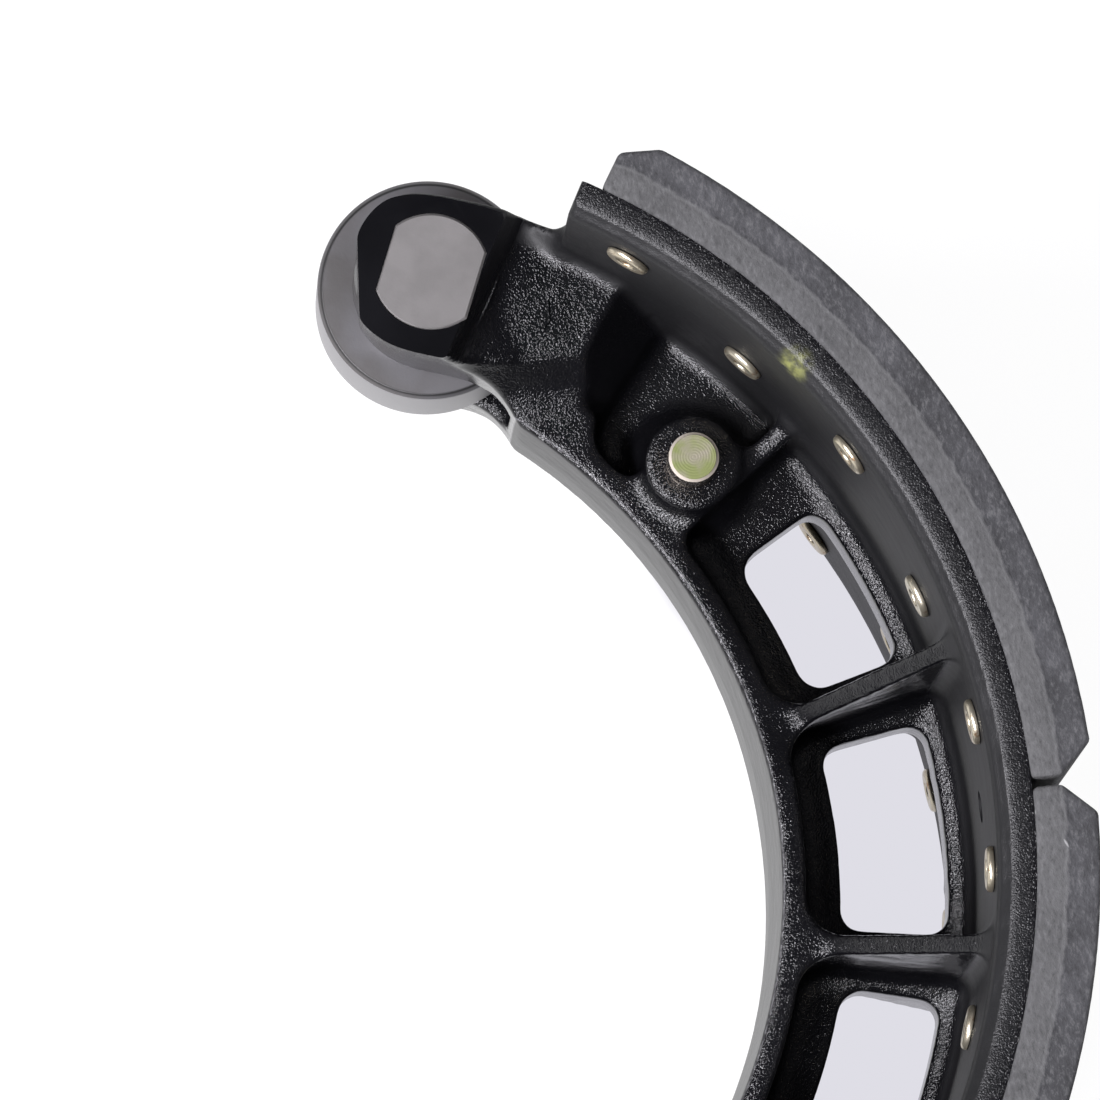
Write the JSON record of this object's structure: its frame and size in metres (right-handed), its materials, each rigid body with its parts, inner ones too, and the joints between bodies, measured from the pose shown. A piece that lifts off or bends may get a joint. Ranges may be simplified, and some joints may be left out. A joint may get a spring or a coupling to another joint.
{
  "type": "brake shoe",
  "caption": "Cast drum-brake shoe for heavy vehicles with riveted lining blocks, a cam roller on a flatted pin, a return-spring pin and a bushed anchor eye.",
  "frame": {"origin": "centre of the anchor bush's bore, on the shoe's middle plane", "axes": "+Z along the drum axis, up when the shoe lies on its lining's flank; +Y from the anchor end towards the cam end, along the shoe's chord; +X from the drum's centre out through the middle of the lining"},
  "size_m": [0.1761, 0.3566, 0.18],
  "materials": {
    "casting": "as-cast surface under gloss black enamel",
    "lining": "moulded friction material, matt",
    "rivets": "plated, clinched",
    "roller": "ground, oiled",
    "roller_pin": "satin",
    "spring_pin": "zinc plated, yellow passivated",
    "bush": "turned bronze"
  },
  "bodies": {
    "shoe": {"casting_table": "casting", "casting_web": "casting", "casting_fork": "casting", "casting_anchor_end": "casting", "lining_cam_block": "lining", "lining_anchor_block": "lining", "rivets_cam_block": "rivets", "rivets_anchor_block": "rivets", "roller_pin": "roller_pin", "spring_pin": "spring_pin", "anchor_bush": "bush"},
    "roller": {"cam_roller": "roller"}
  },
  "joints": [
    {"name": "roller_spin", "type": "hinge", "parent": "shoe", "child": "roller", "pos_m": [0.0007, 0.30161, 0], "axis": [0, 0, 1], "continuous": true}
  ]
}
